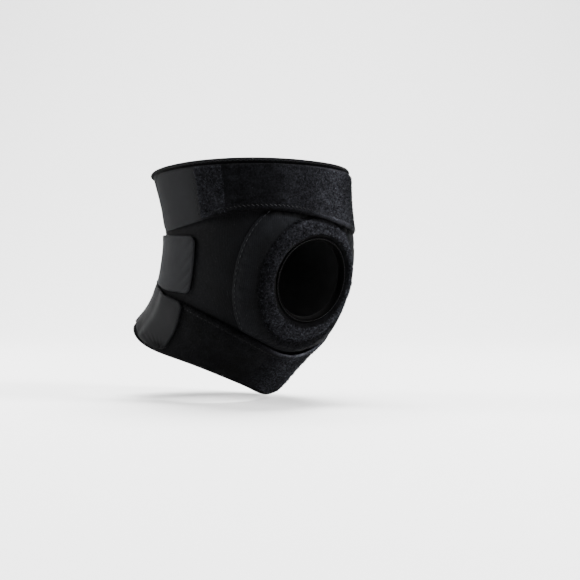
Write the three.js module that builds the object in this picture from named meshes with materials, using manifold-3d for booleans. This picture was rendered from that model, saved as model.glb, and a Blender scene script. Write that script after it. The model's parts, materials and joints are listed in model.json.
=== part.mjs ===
// Open-patella knee support, as worn on a bent right knee.
//
// Millimetres, +Z up. The kneecap faces -Y and the outer side of the leg faces -X, and the origin is the
// middle of the knee inside the support. Every piece is laid over one leg form. A place on it is an angle
// round the leg (0 at the kneecap, 90 at the outer side), a height along the leg (0 at the knee's centre,
// in millimetres on the outer side) and a distance out from the skin.

import * as THREE from 'three';
import { mergeVertices } from 'three/addons/utils/BufferGeometryUtils.js';
import Module from 'manifold-3d';

const wasm = await Module();
wasm.setup();

// Leg form
const kneeHalfWidth = 60;
const kneeFront = 70;
const kneeBack = 67;
const upperReach = 83.6;
const lowerReach = 85;
const frontSquareness = 2.25;
const backSquareness = 2.1;

// Thicknesses of the layers, and the clearance between two of them
const wrapWall = 3.5;
const strapWall = 2.4;
const tabWall = 1.9;
const layerGap = 0.5;

// Outline of the wrap, and the slit where its two ends meet
const topSlope = 5.4;
const topHighAngle = 65;
const bottomRise = 9.6;
const bottomRiseAngle = 44;
const bottomRiseSpread = 36;
const bottomDip = 11.6;
const bottomDipAngle = -24;
const bottomDipSpread = 26;
const slitAngle = 210;
const slitWidth = 3;

// Tape folded over the wrap's top and bottom edges
const tapeWall = 0.8;
const tapeDepth = 3;

// Kneecap opening, with its lip, the ring round it and the pad round the ring
const openingAngle = -2;
const openingHeight = 5.5;
const openingRadius = 28.3;
const lipWidth = 2;
const lipRise = 1.5;
const lipRounding = 0.5;
const ringSideWidth = 7.6;
const ringEndWidth = 14;
const ringCrown = 4.4;
const ringEdge = 2;
const ringShoulder = 3.8;
const ringShoulderShare = 0.2;
const padWidth = 20.3;
const padCrown = 2.6;
const padEdge = 1.2;

// Upper strap and its closing tab
const upperStrapMargin = 4.6;
const upperStrapBottom = 30.5;
const upperPadStrip = 8.6;
const upperArchAngle = 26;
const upperArchSpread = 56;
const upperStrapRoot = -188;
const upperJoint = 67;
const upperTabEnd = 109;
const upperTabSlant = 8;
const upperTabCorner = 9;
const upperGape = 1.1;
const upperGapeAngle = 0;
const upperGapeSpread = 45;

// Strap behind the knee and its closing tab
const strapSpacing = 1.4;
const middleStrapRoot = 245;
const middleJoint = 152;
const middleTabEnd = 75.5;
const middleTabRise = 3.6;
const middleTabRiseStart = 108;
const middleTabCorner = 5;

// Lower strap and its closing tab
const lowerStrapMargin = 0.6;
const lowerStrapTop = -16.8;
const lowerPadStrip = 16.8;
const lowerDipAngle = -7;
const lowerDipSpread = 62;
const lowerDipCore = 32;
const lowerCoreShare = 0.41;
const lowerStrapRoot = 98;
const lowerJoint = 138;
const lowerTabEnd = 76.5;
const lowerTabSlant = 5;
const lowerTabInset = 1.6;
const lowerTabMargin = 3.2;
const lowerTabCorner = 5.5;
const lowerTabRamp = 16;
const lowerFlare = 0.8;
const lowerFlareSpread = 22;
const jointGap = 0.5;

// Fineness of the surfaces: degrees for each span round the leg, spans round the kneecap, and rows across
const strapStep = 6;
const tapeStep = 8;
const ringSpans = 40;
const padSpans = 48;
const strapRows = 4;
const wrapRows = 15;
const padRows = 4;
const cornerRows = 3;

const fullTurn = 360;
const degrees = Math.PI / 180;

// Sections of the leg form, from the lower edge to the upper one. at and rise are shares of the reach
// below or above the knee. setBack and front are shares of kneeFront, width of kneeHalfWidth and back of
// kneeBack. lean turns the section's front up and tilt its outer side, in degrees.
const sections = [
  { at: -1.2, setBack: 1.13, rise: -0.81, lean: -21, tilt: 4, width: 0.86, front: 0.915, back: 0.89 },
  { at: -1.0, setBack: 0.91, rise: -0.69, lean: -20, tilt: 4, width: 0.87, front: 0.915, back: 0.9 },
  { at: -0.67, setBack: 0.54, rise: -0.5, lean: -18, tilt: 3, width: 0.9, front: 0.88, back: 0.93 },
  { at: -0.33, setBack: 0.23, rise: -0.28, lean: -14, tilt: 1, width: 0.965, front: 0.957, back: 0.99 },
  { at: 0.0, setBack: 0.04, rise: 0.0, lean: -8, tilt: 0, width: 1.0, front: 1.015, back: 1.0 },
  { at: 0.33, setBack: -0.03, rise: 0.33, lean: -3, tilt: 0, width: 1.015, front: 0.985, back: 0.985 },
  { at: 0.67, setBack: 0.03, rise: 0.66, lean: 0, tilt: 0, width: 1.05, front: 0.985, back: 1.03 },
  { at: 1.0, setBack: 0.1, rise: 0.965, lean: 2, tilt: 0, width: 1.1, front: 1.015, back: 1.105 },
];

const mix = (a, b, share) => a + (b - a) * share;
// A bell over the angles round the leg, which meets itself at the back.
const around = (angle, middle, spread) => {
  const apart = ((((angle - middle) % fullTurn) + 1.5 * fullTurn) % fullTurn) - fullTurn / 2;
  return Math.exp(-((apart / spread) ** 2));
};
const smoothStep = (from, to, value) => {
  const share = Math.min(1, Math.max(0, (value - from) / (to - from)));
  return share * share * (3 - 2 * share);
};

// The value of a column of the section table at a share of the reach, on a smooth curve through the rows.
function sectionValue(column, share) {
  const last = sections.length - 1;
  const slope = (row) => {
    const before = sections[Math.max(row - 1, 0)];
    const after = sections[Math.min(row + 1, last)];
    return (after[column] - before[column]) / (after.at - before.at);
  };
  let row = 0;
  while (row < last - 1 && share >= sections[row + 1].at) row += 1;
  const low = sections[row];
  const high = sections[row + 1];
  const span = high.at - low.at;
  const s = (share - low.at) / span;
  return (
    low[column] * (2 * s ** 3 - 3 * s ** 2 + 1) +
    span * slope(row) * (s ** 3 - 2 * s ** 2 + s) +
    high[column] * (3 * s ** 2 - 2 * s ** 3) +
    span * slope(row + 1) * (s ** 3 - s ** 2)
  );
}

// A point on the skin: a rounded section, flatter at the shin and kneecap than an ellipse.
function skinPoint(angle, height) {
  const reach = height < 0 ? lowerReach : upperReach;
  const value = (column) => sectionValue(column, height / reach);
  const side = Math.sin(angle * degrees);
  const ahead = Math.cos(angle * degrees);
  const width = kneeHalfWidth * value('width');
  const depth = ahead > 0 ? kneeFront * value('front') : kneeBack * value('back');
  const power = ahead > 0 ? frontSquareness : backSquareness;
  const radius = ((Math.abs(side) / width) ** power + (Math.abs(ahead) / depth) ** power) ** (-1 / power);
  const lean = value('lean') * degrees;
  const tilt = value('tilt') * degrees;
  return new THREE.Vector3(
    -radius * side * Math.cos(tilt),
    kneeFront * value('setBack') - radius * ahead * Math.cos(lean),
    reach * value('rise') + radius * ahead * Math.sin(lean) + radius * side * Math.sin(tilt),
  );
}

// How the skin runs round the leg, per degree, and along it, per millimetre of height.
function skinRuns(angle, height) {
  const step = 0.5;
  const round = skinPoint(angle + step, height).sub(skinPoint(angle - step, height)).divideScalar(2 * step);
  const along = skinPoint(angle, height + step).sub(skinPoint(angle, height - step)).divideScalar(2 * step);
  return { round, along };
}

// A point at a distance out from the skin.
function layerPoint(angle, height, distance) {
  const { round, along } = skinRuns(angle, height);
  const outward = along.cross(round).normalize();
  return skinPoint(angle, height).addScaledVector(outward, distance);
}

const perDegree = skinRuns(90, 0).round.length();
const openingRuns = skinRuns(openingAngle, openingHeight);

// A place near the kneecap, from millimetres sideways and up from the opening's centre.
function kneecapPlace(turn, halfWidth, halfHeight) {
  return {
    angle: openingAngle + (halfWidth * Math.cos(turn)) / openingRuns.round.length(),
    height: openingHeight + (halfHeight * Math.sin(turn)) / openingRuns.along.length(),
  };
}

// A geometry with its faces pointing out, whichever way its grid runs.
function closedBody(points, triangles) {
  let volume = 0;
  for (let i = 0; i < triangles.length; i += 3) {
    const [p, q, r] = [0, 1, 2].map((k) => points[triangles[i + k]]);
    volume += p.dot(q.clone().cross(r));
  }
  const geometry = new THREE.BufferGeometry();
  geometry.setAttribute('position', new THREE.Float32BufferAttribute(points.flatMap((p) => p.toArray()), 3));
  geometry.setIndex(volume < 0 ? triangles.reverse() : triangles);
  return geometry;
}

// Sections of the same closed outline joined one to the next. Each is a list of { angle, height, distance
// } corners. A closed sweep comes back to its start, and an open one has flat ends.
function sweep(outlines, closed) {
  const points = outlines.flat().map(({ angle, height, distance }) => layerPoint(angle, height, distance));
  const corners = outlines[0].length;
  const spans = closed ? outlines.length : outlines.length - 1;
  const triangles = [];
  for (let c = 0; c < spans; c += 1) {
    const here = c * corners;
    const next = ((c + 1) % outlines.length) * corners;
    for (let k = 0; k < corners; k += 1) {
      const other = (k + 1) % corners;
      triangles.push(here + k, here + other, next + other, here + k, next + other, next + k);
    }
  }
  if (!closed) {
    const outline = outlines[0].map(({ height, distance }) => new THREE.Vector2(distance, height));
    const start = spans * corners;
    const turned = THREE.ShapeUtils.isClockWise(outline);
    for (const cap of THREE.ShapeUtils.triangulateShape(outline, [])) {
      const [p, q, r] = turned ? cap.reverse() : cap;
      triangles.push(r, q, p, start + p, start + q, start + r);
    }
  }
  return closedBody(points, triangles);
}

// A sheet with an even wall, over a grid of shares along and across it. place gives each grid point's
// angle and height, and base its inner face's distance from the skin.
function sheet({ along, across, place, base, wall, closed = false }) {
  const outlines = along.map((a) => {
    const faces = across.map((b) => {
      const spot = place(a, b);
      return { ...spot, distance: base(spot.angle, b), wall: wall(b) };
    });
    const outer = faces.map((spot) => ({ ...spot, distance: spot.distance + spot.wall }));
    return { inner: faces, outer };
  });
  const rows = across.length;
  const points = outlines
    .flatMap(({ inner, outer }) => [...inner, ...outer])
    .map(({ angle, height, distance }) => layerPoint(angle, height, distance));
  const inside = (c, r) => (c % along.length) * 2 * rows + r;
  const outside = (c, r) => inside(c, r) + rows;
  const triangles = [];
  const quad = (p, q, r, s) => triangles.push(p, q, r, p, r, s);
  const spans = closed ? along.length : along.length - 1;
  for (let c = 0; c < spans; c += 1) {
    for (let r = 0; r < rows - 1; r += 1) {
      quad(outside(c, r), outside(c, r + 1), outside(c + 1, r + 1), outside(c + 1, r));
      quad(inside(c, r), inside(c + 1, r), inside(c + 1, r + 1), inside(c, r + 1));
    }
    quad(outside(c, 0), outside(c + 1, 0), inside(c + 1, 0), inside(c, 0));
    quad(outside(c, rows - 1), inside(c, rows - 1), inside(c + 1, rows - 1), outside(c + 1, rows - 1));
  }
  for (let r = 0; r < rows - 1 && !closed; r += 1) {
    quad(outside(0, r), inside(0, r), inside(0, r + 1), outside(0, r + 1));
    quad(outside(spans, r), outside(spans, r + 1), inside(spans, r + 1), inside(spans, r));
  }
  return closedBody(points, triangles);
}

const shares = (count) => Array.from({ length: count + 1 }, (_, i) => i / count);
const turns = (count) => Array.from({ length: count }, (_, i) => (i / count) * 2 * Math.PI);
const columns = (from, to, step) => Math.max(2, Math.round(Math.abs(to - from) / step));

// Shares across a strap. Where its end has round corners, four lines follow each corner.
function acrossShares(rows, corner, width) {
  if (corner === 0) return shares(rows);
  const near = shares(cornerRows).map((share) => ((1 - Math.cos((share * Math.PI) / 2)) * corner) / width);
  const last = near[cornerRows];
  const between = shares(rows).slice(1, -1).map((share) => mix(last, 1 - last, share));
  return [...near, ...between, ...near.map((share) => 1 - share).reverse()];
}

// A strap between two angles. low and high give its edges' heights, base its inner face's distance from
// the skin. slant is how far the lower edge runs past the upper one at the end, and corner is the radius
// of the end's corners.
function strap({ from, to, low, high, base, wall, rows = strapRows, slant = 0, corner = 0 }) {
  const way = Math.sign(to - from);
  const width = high(to) - low(to);
  const end = (b) => {
    const edge = Math.min(b, 1 - b) * width;
    const pull = edge < corner ? corner - Math.sqrt(corner ** 2 - (corner - edge) ** 2) : 0;
    return to + way * (slant * (1 - b) - pull / perDegree);
  };
  return sheet({
    along: shares(columns(from, to, strapStep)),
    across: acrossShares(rows, corner, width),
    place: (a, b) => {
      const angle = mix(from, end(b), a);
      return { angle, height: mix(low(angle), high(angle), b) };
    },
    base,
    wall: () => wall,
  });
}

// Edges of the wrap
const topEdge = (angle) => upperReach - (topSlope * (1 - Math.cos((angle - topHighAngle) * degrees))) / 2;
const bottomEdge = (angle) =>
  -lowerReach +
  bottomRise * around(angle, bottomRiseAngle, bottomRiseSpread) -
  bottomDip * around(angle, bottomDipAngle, bottomDipSpread);
const slitHalf = slitWidth / 2 / perDegree;
const wrapStart = slitAngle - fullTurn + slitHalf;
const wrapEnd = slitAngle - slitHalf;

// Sizes of the rings round the kneecap
const lipOuter = openingRadius + lipWidth;
const ringInner = lipOuter + layerGap;
const ringHalfWidth = ringInner + ringSideWidth;
const ringHalfHeight = ringInner + ringEndWidth;

// Edges of the straps and tabs. The upper strap arches over the ring and the lower one dips under it, each
// with a strip of the pad between.
const upperHigh = (angle) => topEdge(angle) - upperStrapMargin;
const upperPeak = openingHeight + (ringHalfHeight + upperPadStrip) / openingRuns.along.length();
const upperLow = (angle) =>
  upperStrapBottom + (upperPeak - upperStrapBottom) * around(angle, upperArchAngle, upperArchSpread);
const middleHigh = () => upperStrapBottom - strapSpacing;
const middleLow = (angle) =>
  lowerStrapTop + strapSpacing + middleTabRise * smoothStep(middleTabRiseStart, middleTabEnd, angle);
const lowerDepth = openingHeight - (ringHalfHeight + lowerPadStrip) / openingRuns.along.length();
const lowerHigh = (angle) => {
  const wide = around(angle, lowerDipAngle, lowerDipSpread);
  const core = around(angle, lowerDipAngle, lowerDipCore);
  return lowerStrapTop + (lowerDepth - lowerStrapTop) * mix(wide, core, lowerCoreShare);
};
const lowerLow = (angle) => bottomEdge(angle) + tapeDepth + layerGap + lowerStrapMargin;
const lowerTabHigh = () => lowerStrapTop - lowerTabInset;
const lowerTabLow = (angle) => lowerLow(angle) + lowerTabMargin;

// Distance from the skin of what lies on the wrap
const wrapFace = wrapWall + layerGap;

function asManifold(geometry) {
  geometry.deleteAttribute('normal');
  geometry.deleteAttribute('uv');
  const merged = mergeVertices(geometry, 1e-4);
  const index = [];
  for (let i = 0; i < merged.index.count; i += 3) {
    const [p, q, r] = merged.index.array.slice(i, i + 3);
    if (p !== q && q !== r && r !== p) index.push(p, q, r);
  }
  return new wasm.Manifold(
    new wasm.Mesh({
      numProp: 3,
      vertProperties: new Float32Array(merged.attributes.position.array),
      triVerts: new Uint32Array(index),
    }),
  );
}

function asGeometry(manifold) {
  const mesh = manifold.getMesh();
  const geometry = new THREE.BufferGeometry();
  geometry.setAttribute('position', new THREE.Float32BufferAttribute(mesh.vertProperties, 3));
  geometry.setIndex(Array.from(mesh.triVerts));
  return geometry;
}

// The thick panel round the whole leg, with the kneecap opening cut through it.
function neopreneWrap() {
  const inset = tapeWall + layerGap;
  const panel = strap({
    from: wrapStart,
    to: wrapEnd,
    low: (angle) => bottomEdge(angle) + inset,
    high: (angle) => topEdge(angle) - inset,
    base: () => 0,
    wall: wrapWall,
    rows: wrapRows,
  });
  const plug = sheet({
    along: turns(ringSpans),
    across: [0, 1],
    place: (turn, b) => kneecapPlace(turn, ringInner * b, ringInner * b),
    base: () => -wrapWall,
    wall: () => 3 * wrapWall,
    closed: true,
  });
  return asGeometry(asManifold(panel).subtract(asManifold(plug)));
}

// Tape folded over an edge of the wrap. into points from the edge into the wrap.
function edgeTape(edge, into) {
  const inFace = -layerGap;
  const outFace = wrapWall + layerGap;
  const outlines = shares(columns(wrapStart, wrapEnd, tapeStep)).map((share) => {
    const angle = mix(wrapStart, wrapEnd, share);
    const corner = (distance, depth) => ({ angle, height: edge(angle) + into * depth, distance });
    return [
      corner(outFace + tapeWall, tapeDepth),
      corner(outFace + tapeWall, 0),
      corner(inFace - tapeWall, 0),
      corner(inFace - tapeWall, tapeDepth),
      corner(inFace, tapeDepth),
      corner(inFace, tapeWall),
      corner(outFace, tapeWall),
      corner(outFace, tapeDepth),
    ];
  });
  return sweep(outlines, false);
}

// A ring round the kneecap opening. Its outline's corners are [share of the way out, distance from the
// skin].
function kneecapSweep(inner, outer, outline) {
  const outlines = turns(ringSpans).map((turn) =>
    outline.map(([share, distance]) => ({
      ...kneecapPlace(turn, mix(inner.width, outer.width, share), mix(inner.height, outer.height, share)),
      distance,
    })),
  );
  return sweep(outlines, true);
}

function openingLip() {
  const top = wrapWall + lipRise;
  return kneecapSweep(
    { width: openingRadius, height: openingRadius },
    { width: lipOuter, height: lipOuter },
    [
      [0, 0],
      [0, top - lipRounding],
      [lipRounding / lipWidth, top],
      [1 - lipRounding / lipWidth, top],
      [1, top - lipRounding],
      [1, 0],
    ],
  );
}

function kneecapRing() {
  return kneecapSweep(
    { width: ringInner, height: ringInner },
    { width: ringHalfWidth, height: ringHalfHeight },
    [
      [0, wrapFace],
      [0, wrapFace + ringEdge],
      [ringShoulderShare, wrapFace + ringShoulder],
      [0.5, wrapFace + ringCrown],
      [1 - ringShoulderShare, wrapFace + ringShoulder],
      [1, wrapFace + ringEdge],
      [1, wrapFace],
    ],
  );
}

// The pad runs from the ring out to its seam, or to the edge of a strap where that comes first.
function kneecapPad() {
  const innerPlace = (turn) => kneecapPlace(turn, ringHalfWidth + layerGap, ringHalfHeight + layerGap);
  const seamPlace = (turn) => {
    const { angle, height } = kneecapPlace(turn, ringHalfWidth + padWidth, ringHalfHeight + padWidth);
    const lowest = lowerHigh(angle) + layerGap;
    const highest = upperLow(angle) - layerGap;
    return { angle, height: Math.min(highest, Math.max(lowest, height)) };
  };
  return sheet({
    along: turns(padSpans),
    across: shares(padRows),
    place: (turn, b) => {
      const inner = innerPlace(turn);
      const seam = seamPlace(turn);
      return { angle: mix(inner.angle, seam.angle, b), height: mix(inner.height, seam.height, b) };
    },
    base: () => wrapFace,
    wall: (b) => mix(padCrown, padEdge, b ** 2),
    closed: true,
  });
}

function upperStrap() {
  return strap({
    from: upperStrapRoot,
    to: upperJoint - jointGap / 2 / perDegree,
    low: upperLow,
    high: upperHigh,
    base: (angle, b) => wrapFace + upperGape * around(angle, upperGapeAngle, upperGapeSpread) * (1 - b) ** 2,
    wall: strapWall,
  });
}

function upperTab() {
  return strap({
    from: upperJoint + jointGap / 2 / perDegree,
    to: upperTabEnd,
    low: upperLow,
    high: upperHigh,
    base: () => wrapFace,
    wall: tabWall,
    slant: upperTabSlant,
    corner: upperTabCorner,
  });
}

function middleStrap() {
  return strap({
    from: middleStrapRoot,
    to: middleJoint + jointGap / 2 / perDegree,
    low: middleLow,
    high: middleHigh,
    base: () => wrapFace,
    wall: strapWall,
  });
}

function middleTab() {
  return strap({
    from: middleJoint - jointGap / 2 / perDegree,
    to: middleTabEnd,
    low: middleLow,
    high: middleHigh,
    base: () => wrapFace,
    wall: tabWall,
    corner: middleTabCorner,
  });
}

function lowerStrap() {
  return strap({
    from: lowerStrapRoot,
    to: lowerJoint - fullTurn + jointGap / 2 / perDegree,
    low: lowerLow,
    high: lowerHigh,
    base: (angle, b) => wrapFace + lowerFlare * around(angle, lowerDipAngle, lowerFlareSpread) * b ** 2,
    wall: strapWall,
  });
}

// The tab starts on the wrap and climbs over the strap's own root.
function lowerTab() {
  const top = lowerStrapRoot + layerGap / perDegree;
  const foot = top + lowerTabRamp / perDegree;
  return strap({
    from: lowerJoint - jointGap / 2 / perDegree,
    to: lowerTabEnd,
    low: lowerTabLow,
    high: lowerTabHigh,
    base: (angle) => wrapFace + (strapWall + layerGap) * smoothStep(foot, top, angle),
    wall: tabWall,
    slant: lowerTabSlant,
    corner: lowerTabCorner,
  });
}

const finish = (color, roughness) => new THREE.MeshStandardMaterial({ color, roughness, metalness: 0 });
const neoprene = finish(0x17181b, 0.8);
const tape = finish(0x1d1e21, 0.85);
const loopPile = finish(0x2b2c31, 0.95);
const hookTab = finish(0x565a5f, 0.75);

const pieces = {
  wrap: [
    ['neoprene_wrap', neopreneWrap(), neoprene],
    ['top_binding', edgeTape(topEdge, -1), tape],
    ['bottom_binding', edgeTape(bottomEdge, 1), tape],
  ],
  kneecap: [
    ['kneecap_pad', kneecapPad(), neoprene],
    ['kneecap_ring', kneecapRing(), loopPile],
    ['opening_binding', openingLip(), tape],
  ],
  straps: [
    ['upper_strap', upperStrap(), loopPile],
    ['upper_tab', upperTab(), hookTab],
    ['middle_strap', middleStrap(), loopPile],
    ['middle_tab', middleTab(), hookTab],
    ['lower_strap', lowerStrap(), loopPile],
    ['lower_tab', lowerTab(), hookTab],
  ],
};

const kneeSupport = new THREE.Group();
for (const list of Object.values(pieces)) {
  const set = new THREE.Group();
  for (const [name, geometry, material] of list) {
    const mesh = new THREE.Mesh(geometry, material);
    mesh.name = name;
    set.add(mesh);
  }
  kneeSupport.add(set);
}

export default kneeSupport;
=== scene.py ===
import json
import math
from collections import namedtuple

import bpy
import numpy as np
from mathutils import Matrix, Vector


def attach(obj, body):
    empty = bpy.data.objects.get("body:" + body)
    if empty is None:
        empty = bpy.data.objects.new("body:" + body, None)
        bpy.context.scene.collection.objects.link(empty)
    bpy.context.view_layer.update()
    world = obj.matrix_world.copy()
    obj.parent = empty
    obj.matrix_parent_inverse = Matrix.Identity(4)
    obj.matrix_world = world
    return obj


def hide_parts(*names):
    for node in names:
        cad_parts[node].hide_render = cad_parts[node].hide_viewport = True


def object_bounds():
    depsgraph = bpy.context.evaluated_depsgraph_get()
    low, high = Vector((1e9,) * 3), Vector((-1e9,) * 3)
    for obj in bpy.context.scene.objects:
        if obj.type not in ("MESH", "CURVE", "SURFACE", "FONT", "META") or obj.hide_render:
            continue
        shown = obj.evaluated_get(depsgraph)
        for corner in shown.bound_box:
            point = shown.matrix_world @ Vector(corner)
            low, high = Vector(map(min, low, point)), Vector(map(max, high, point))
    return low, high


bl_info = {
    "name": "Open-patella knee support",
    "version": (1, 0, 0),
    "blender": (4, 5, 0),
    "location": "View3D > Sidebar > Knee support",
    "description": "Soft pieces, stitching, pile and finishes of a knee support, laid over its packed solids",
    "category": "Object",
}

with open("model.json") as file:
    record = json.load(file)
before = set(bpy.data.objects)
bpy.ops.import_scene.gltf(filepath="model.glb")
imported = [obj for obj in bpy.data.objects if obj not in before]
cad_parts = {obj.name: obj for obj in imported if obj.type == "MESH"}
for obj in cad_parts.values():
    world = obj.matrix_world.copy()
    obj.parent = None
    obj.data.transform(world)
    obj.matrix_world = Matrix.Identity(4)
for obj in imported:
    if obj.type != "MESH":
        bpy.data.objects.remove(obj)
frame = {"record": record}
SOLID_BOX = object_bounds()

# Lengths are in millimetres until a mesh is written, and angles in degrees. An angle runs round the leg from
# the kneecap, a height along it from the knee, and a distance out from the skin.
MM = 0.001

KNEE_HALF_WIDTH = 60
KNEE_FRONT = 70
KNEE_BACK = 67
UPPER_REACH = 83.6
LOWER_REACH = 85
FRONT_SQUARENESS = 2.25
BACK_SQUARENESS = 2.1

# Sections of the leg form, from the lower edge up. at and rise are shares of the reach below or above the
# knee, set_back and front of KNEE_FRONT, width of KNEE_HALF_WIDTH and back of KNEE_BACK.
Section = namedtuple("Section", "at set_back rise lean tilt width front back")
SECTIONS = (
    Section(-1.2, 1.13, -0.81, -21, 4, 0.86, 0.915, 0.89),
    Section(-1.0, 0.91, -0.69, -20, 4, 0.87, 0.915, 0.9),
    Section(-0.67, 0.54, -0.5, -18, 3, 0.9, 0.88, 0.93),
    Section(-0.33, 0.23, -0.28, -14, 1, 0.965, 0.957, 0.99),
    Section(0.0, 0.04, 0.0, -8, 0, 1.0, 1.015, 1.0),
    Section(0.33, -0.03, 0.33, -3, 0, 1.015, 0.985, 0.985),
    Section(0.67, 0.03, 0.66, 0, 0, 1.05, 0.985, 1.03),
    Section(1.0, 0.1, 0.965, 2, 0, 1.1, 1.015, 1.105),
)

WRAP_WALL = 3.5
STRAP_WALL = 2.4
TAB_WALL = 1.9
LAYER_GAP = 0.5
WRAP_FACE = WRAP_WALL + LAYER_GAP
STRAP_FACE = WRAP_FACE + STRAP_WALL
TAB_FACE = WRAP_FACE + TAB_WALL
SLIT_ANGLE = 210
SLIT_WIDTH = 3

OPENING_ANGLE = -2
OPENING_HEIGHT = 5.5
OPENING_RADIUS = 28.3
LIP_WIDTH = 2
RING_SIDE_WIDTH = 7.6
RING_END_WIDTH = 14
PAD_WIDTH = 20.3

# A name that ends in _AT gives the angle of a bell's middle and its spread.
TOP_SLOPE = 5.4
TOP_SLOPE_ANGLE = 65
BOTTOM_RISE = 9.6
BOTTOM_RISE_AT = 44, 36
BOTTOM_DROP = 11.6
BOTTOM_DROP_AT = -24, 26
UPPER_MARGIN = 4.6
LOWER_MARGIN = 4.1
UPPER_STRAP_BOTTOM = 30.5
UPPER_ARCH_AT = 26, 56
UPPER_PAD_STRIP = 8.6
STRAP_SPACING = 1.4
LOWER_STRAP_TOP = -16.8
LOWER_PAD_STRIP = 16.8
LOWER_DIP_WIDE_AT = -7, 62
LOWER_DIP_NARROW_AT = -7, 32
LOWER_DIP_MIX = 0.41
TAB_TAPER = 3.6
TAB_TAPER_END = 108
LOWER_TAB_DROP = 1.6
LOWER_TAB_RISE = 3.2
STRAP_SAG = 3.1
STRAP_SAG_AT = 5, 55

UPPER_STRAP_ROOT = -188
UPPER_JOINT = 67
UPPER_TAB_END = 109
MIDDLE_STRAP_ROOT = 245
MIDDLE_JOINT = 152
MIDDLE_TAB_END = 75.5
LOWER_STRAP_ROOT = 98
LOWER_JOINT = 138
LOWER_TAB_END = 76.5


def smooth_step(start, end, value):
    share = np.clip((value - start) / (end - start), 0, 1)
    return share * share * (3 - 2 * share)


def bell(value, middle, spread):
    return np.exp(-(((value - middle) / spread) ** 2))


def around(angle, middle, spread):
    """A bell over the angles round the leg."""
    return bell((angle - middle + 180) % 360 - 180, 0, spread)


def mix(a, b, share):
    return a + (b - a) * share


def section_value(column, share):
    """A column of the section table at shares of the reach, on a smooth curve through the rows."""
    at = np.array([row.at for row in SECTIONS])
    values = np.array([getattr(row, column) for row in SECTIONS], dtype=float)
    before = np.maximum(np.arange(len(at)) - 1, 0)
    after = np.minimum(np.arange(len(at)) + 1, len(at) - 1)
    slopes = (values[after] - values[before]) / (at[after] - at[before])
    low = np.clip(np.searchsorted(at, share, side="right") - 1, 0, len(at) - 2)
    span = at[low + 1] - at[low]
    s = (share - at[low]) / span
    return (
        values[low] * (2 * s**3 - 3 * s**2 + 1)
        + span * slopes[low] * (s**3 - 2 * s**2 + s)
        + values[low + 1] * (3 * s**2 - 2 * s**3)
        + span * slopes[low + 1] * (s**3 - s**2)
    )


def skin(angle, height):
    """Points on the skin, as an array with a row for each angle and height."""
    reach = np.where(height < 0, LOWER_REACH, UPPER_REACH)
    share = height / reach
    side = np.sin(np.radians(angle))
    ahead = np.cos(np.radians(angle))
    width = KNEE_HALF_WIDTH * section_value("width", share)
    front = KNEE_FRONT * section_value("front", share)
    back = KNEE_BACK * section_value("back", share)
    depth = np.where(ahead > 0, front, back)
    power = np.where(ahead > 0, FRONT_SQUARENESS, BACK_SQUARENESS)
    radius = ((np.abs(side) / width) ** power + (np.abs(ahead) / depth) ** power) ** (-1 / power)
    lean = np.radians(section_value("lean", share))
    tilt = np.radians(section_value("tilt", share))
    return np.stack(
        (
            -radius * side * np.cos(tilt),
            KNEE_FRONT * section_value("set_back", share) - radius * ahead * np.cos(lean),
            reach * section_value("rise", share) + radius * (ahead * np.sin(lean) + side * np.sin(tilt)),
        ),
        axis=-1,
    )


def unit(vectors):
    return vectors / np.linalg.norm(vectors, axis=-1, keepdims=True)


def skin_runs(angle, height):
    """How the skin runs round the leg, per degree, and along it, per millimetre."""
    round_it = skin(angle + 0.5, height) - skin(angle - 0.5, height)
    along = skin(angle, height + 0.5) - skin(angle, height - 0.5)
    return round_it, along


def outward_at(angle, height):
    """Outward directions of the skin."""
    round_it, along = skin_runs(angle, height)
    return unit(np.cross(along, round_it))


def layer(angle, height, distance):
    """Points at distances out from the skin."""
    values = (np.asarray(value, dtype=float) for value in (angle, height, distance))
    angle, height, distance = np.broadcast_arrays(*values)
    return skin(angle, height) + outward_at(angle, height) * distance[..., None]


KNEECAP_RUNS = skin_runs(np.float64(OPENING_ANGLE), np.float64(OPENING_HEIGHT))
ROUND_KNEECAP, ALONG_KNEECAP = (float(np.linalg.norm(run)) for run in KNEECAP_RUNS)
PER_DEGREE = float(np.linalg.norm(skin_runs(np.float64(90), np.float64(0))[0]))


def kneecap_place(turn, half_width, half_height):
    """Angles and heights round the kneecap opening, from millimetres sideways and up from its centre."""
    angle = OPENING_ANGLE + half_width * np.cos(turn) / ROUND_KNEECAP
    return angle, OPENING_HEIGHT + half_height * np.sin(turn) / ALONG_KNEECAP


def kneecap_span(angle, height):
    """Millimetres that a step in angle and height covers near the kneecap."""
    return np.hypot(angle * ROUND_KNEECAP, height * ALONG_KNEECAP)


LIP_OUTER = OPENING_RADIUS + LIP_WIDTH
RING_INNER = LIP_OUTER + LAYER_GAP
RING_HALF_WIDTH = RING_INNER + RING_SIDE_WIDTH
RING_HALF_HEIGHT = RING_INNER + RING_END_WIDTH
UPPER_PEAK = OPENING_HEIGHT + (RING_HALF_HEIGHT + UPPER_PAD_STRIP) / ALONG_KNEECAP
LOWER_DEPTH = OPENING_HEIGHT - (RING_HALF_HEIGHT + LOWER_PAD_STRIP) / ALONG_KNEECAP


def top_edge(angle):
    return UPPER_REACH - TOP_SLOPE * (1 - np.cos(np.radians(angle - TOP_SLOPE_ANGLE))) / 2


def bottom_edge(angle):
    rise = BOTTOM_RISE * around(angle, *BOTTOM_RISE_AT)
    return -LOWER_REACH + rise - BOTTOM_DROP * around(angle, *BOTTOM_DROP_AT)


def upper_high(angle):
    return top_edge(angle) - UPPER_MARGIN


def upper_low(angle):
    return UPPER_STRAP_BOTTOM + (UPPER_PEAK - UPPER_STRAP_BOTTOM) * around(angle, *UPPER_ARCH_AT)


def sagging_low(angle):
    """Lower edge of the upper strap as it is shown. It hangs a little over the pad at the front."""
    return upper_low(angle) - STRAP_SAG * around(angle, *STRAP_SAG_AT)


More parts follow.
